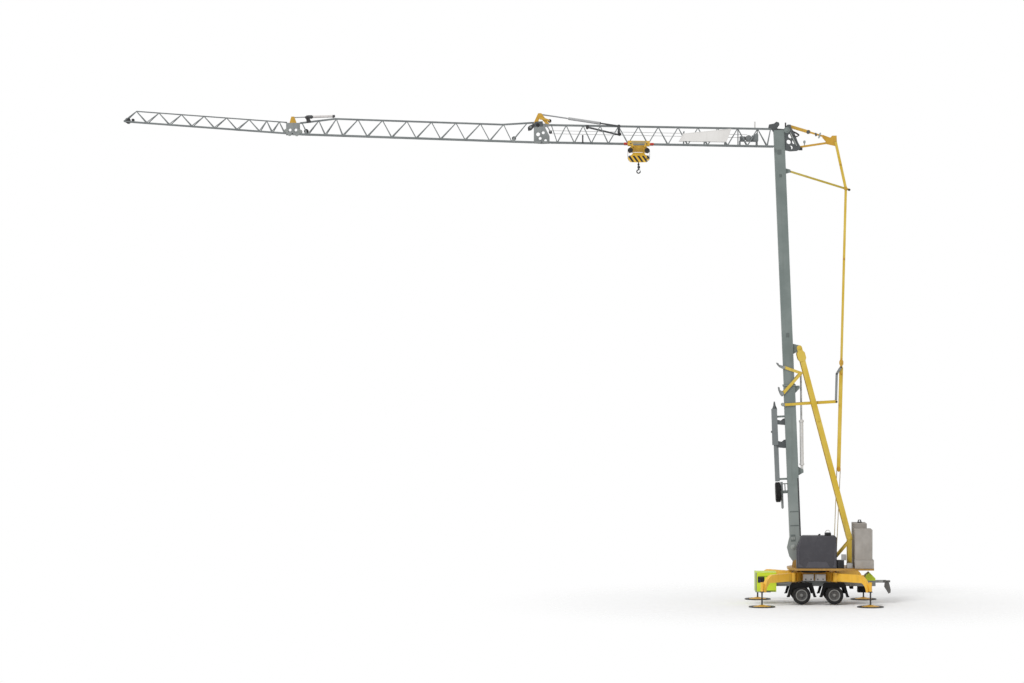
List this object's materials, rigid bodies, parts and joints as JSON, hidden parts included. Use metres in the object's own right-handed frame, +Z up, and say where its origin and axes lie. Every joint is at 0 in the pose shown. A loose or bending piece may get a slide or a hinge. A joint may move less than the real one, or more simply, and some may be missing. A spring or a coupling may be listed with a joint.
{
  "type": "self-erecting tower crane",
  "caption": "Towable self-erecting tower crane with outriggers, leaning box mast, folding lattice jib with trolley and hook, and concrete ballast.",
  "frame": {"origin": "on the ground under the slewing axis", "axes": "+X from the jib towards the ballast, +Y across to the far side, +Z up"},
  "size_m": [31.8153, 5.5296, 20.4353],
  "materials": {
    "outrigger_yellow": "semi-gloss paint",
    "platform_yellow": "semi-gloss paint",
    "strut_yellow": "semi-gloss paint",
    "trolley_yellow": "semi-gloss paint",
    "mast_grey": "satin paint",
    "jib_grey": "satin paint",
    "grey_steel": "satin paint",
    "dark_steel": "satin paint",
    "jack_steel": "oiled steel and paint",
    "light_grey": "satin paint on light sheet",
    "rod_chrome": "polished",
    "rope": "stranded wire",
    "tyre": "matte rubber",
    "black_plastic": "matte moulded",
    "fluorescent": "fluorescent sheet",
    "housing_grey": "satin moulded cover",
    "concrete": "cast concrete",
    "sign_white": "matte sheet",
    "hook_steel": "forged and painted"
  },
  "bodies": {
    "chassis": {"chassis_frame": "outrigger_yellow", "chassis_rails": "grey_steel", "axles": "dark_steel", "mudguards": "black_plastic", "tool_boxes": "light_grey", "drawbar": "grey_steel", "hi_vis_panels": "fluorescent", "underfloor_boxes": "black_plastic", "slew_ring": "dark_steel"},
    "upper": {"platform": "platform_yellow", "housing_near": "housing_grey", "housing_far": "housing_grey", "drive_units": "dark_steel", "ballast_base": "concrete", "ballast_near": "concrete", "ballast_far": "concrete", "lifting_ring": "dark_steel", "mast_lower": "mast_grey", "mast_upper": "mast_grey", "stowed_towbar": "jib_grey", "spare_wheel": "tyre", "strut": "strut_yellow", "strut_support": "strut_yellow", "erecting_cylinder": "light_grey", "erecting_rod": "rod_chrome", "knee_arms": "strut_yellow", "guide_arm": "strut_yellow", "guide_link": "grey_steel", "tie_ropes": "rope"},
    "guide_strut": {"guide_strut": "strut_yellow"},
    "tie_upper": {"tie_upper": "strut_yellow"},
    "tie_lower": {"tie_lower": "strut_yellow"},
    "jib": {"jib_root": "jib_grey", "jib_mid": "jib_grey", "jib_tip": "jib_grey", "fold_plates": "grey_steel", "fold_levers": "strut_yellow", "fold_cylinders": "light_grey", "jib_foot_frame": "jib_grey", "rear_lever": "strut_yellow", "sign_panels": "sign_white", "trolley_winch": "grey_steel"},
    "trolley": {"trolley": "trolley_yellow"},
    "falls": {"hoist_falls": "rope"},
    "hook_block": {"hook_block": "trolley_yellow"},
    "hook": {"hook": "hook_steel"},
    "arm_rear_near": {"outrigger_arm_rear_near": "outrigger_yellow"},
    "jack_rear_near": {"jack_rear_near": "jack_steel"},
    "wheel_rear_near": {"wheel_rear_near": "tyre"},
    "arm_rear_far": {"outrigger_arm_rear_far": "outrigger_yellow"},
    "jack_rear_far": {"jack_rear_far": "jack_steel"},
    "wheel_rear_far": {"wheel_rear_far": "tyre"},
    "arm_front_near": {"outrigger_arm_front_near": "outrigger_yellow"},
    "jack_front_near": {"jack_front_near": "jack_steel"},
    "wheel_front_near": {"wheel_front_near": "tyre"},
    "arm_front_far": {"outrigger_arm_front_far": "outrigger_yellow"},
    "jack_front_far": {"jack_front_far": "jack_steel"},
    "wheel_front_far": {"wheel_front_far": "tyre"}
  },
  "joints": [
    {"name": "arm_swing_rear_near", "type": "hinge", "parent": "chassis", "child": "arm_rear_near", "pos_m": [-0.9, -0.76, 1.135], "axis": [0, 0, -1], "range_deg": [0, 47]},
    {"name": "jack_lift_rear_near", "type": "slide", "parent": "arm_rear_near", "child": "jack_rear_near", "axis": [0, 0, 1], "range_m": [0, 0.3]},
    {"name": "wheel_roll_rear_near", "type": "hinge", "parent": "chassis", "child": "wheel_rear_near", "pos_m": [-0.54, -1, 0.405], "axis": [0, 1, 0], "continuous": true},
    {"name": "arm_swing_rear_far", "type": "hinge", "parent": "chassis", "child": "arm_rear_far", "pos_m": [-0.9, 0.76, 1.135], "axis": [0, 0, 1], "range_deg": [0, 47]},
    {"name": "jack_lift_rear_far", "type": "slide", "parent": "arm_rear_far", "child": "jack_rear_far", "axis": [0, 0, 1], "range_m": [0, 0.3]},
    {"name": "wheel_roll_rear_far", "type": "hinge", "parent": "chassis", "child": "wheel_rear_far", "pos_m": [-0.54, 1, 0.405], "axis": [0, 1, 0], "continuous": true},
    {"name": "arm_swing_front_near", "type": "hinge", "parent": "chassis", "child": "arm_front_near", "pos_m": [0.9, -0.76, 1.135], "axis": [0, 0, 1], "range_deg": [0, 47]},
    {"name": "jack_lift_front_near", "type": "slide", "parent": "arm_front_near", "child": "jack_front_near", "axis": [0, 0, 1], "range_m": [0, 0.3]},
    {"name": "wheel_roll_front_near", "type": "hinge", "parent": "chassis", "child": "wheel_front_near", "pos_m": [0.81, -1, 0.405], "axis": [0, 1, 0], "continuous": true},
    {"name": "arm_swing_front_far", "type": "hinge", "parent": "chassis", "child": "arm_front_far", "pos_m": [0.9, 0.76, 1.135], "axis": [0, 0, -1], "range_deg": [0, 47]},
    {"name": "jack_lift_front_far", "type": "slide", "parent": "arm_front_far", "child": "jack_front_far", "axis": [0, 0, 1], "range_m": [0, 0.3]},
    {"name": "wheel_roll_front_far", "type": "hinge", "parent": "chassis", "child": "wheel_front_far", "pos_m": [0.81, 1, 0.405], "axis": [0, 1, 0], "continuous": true},
    {"name": "slew", "type": "hinge", "parent": "chassis", "child": "upper", "pos_m": [0, 0, 1.4], "axis": [0, 0, 1], "continuous": true},
    {"name": "jib_luff", "type": "hinge", "parent": "upper", "child": "jib", "pos_m": [-1.125, 0, 19.61], "axis": [0, 1, 0], "range_deg": [0, 20], "deforming": ["tie_ropes"]},
    {"name": "guide_strut_swing", "type": "hinge", "parent": "upper", "child": "guide_strut", "pos_m": [-1.03, 0, 17.92], "axis": [0, 1, 0], "range_deg": [0, 17.6]},
    {"name": "tie_upper_swing", "type": "hinge", "parent": "guide_strut", "child": "tie_upper", "pos_m": [1.328, 0, 17.19], "axis": [0, 1, 0], "range_deg": [-16, 0]},
    {"name": "tie_lower_swing", "type": "hinge", "parent": "guide_strut", "child": "tie_lower", "pos_m": [1.328, 0, 17.19], "axis": [0, 1, 0], "range_deg": [-19.2, 0]},
    {"name": "trolley_travel", "type": "slide", "parent": "jib", "child": "trolley", "axis": [-0.9998, 0, 0.0183], "range_m": [-4.05, 2.8]},
    {"name": "falls_hang", "type": "hinge", "parent": "trolley", "child": "falls", "pos_m": [-7.25684, 0, 18.77962], "axis": [0, 1, 0], "range_deg": [-20.5, 0]},
    {"name": "hoist", "type": "slide", "parent": "falls", "child": "hook_block", "axis": [0, 0, -1], "range_m": [0, 17.4], "deforming": ["hoist_falls"]},
    {"name": "hook_swivel", "type": "hinge", "parent": "hook_block", "child": "hook", "pos_m": [-7.25684, 0, 18.285], "axis": [0, 0, 1], "continuous": true}
  ],
  "couplings": [
    {"joint": "guide_strut_swing", "follows": "jib_luff", "ratio": 0.87647},
    {"joint": "tie_upper_swing", "follows": "jib_luff", "ratio": -0.78504},
    {"joint": "tie_lower_swing", "follows": "jib_luff", "ratio": -0.94469},
    {"joint": "falls_hang", "follows": "jib_luff", "ratio": -1}
  ]
}
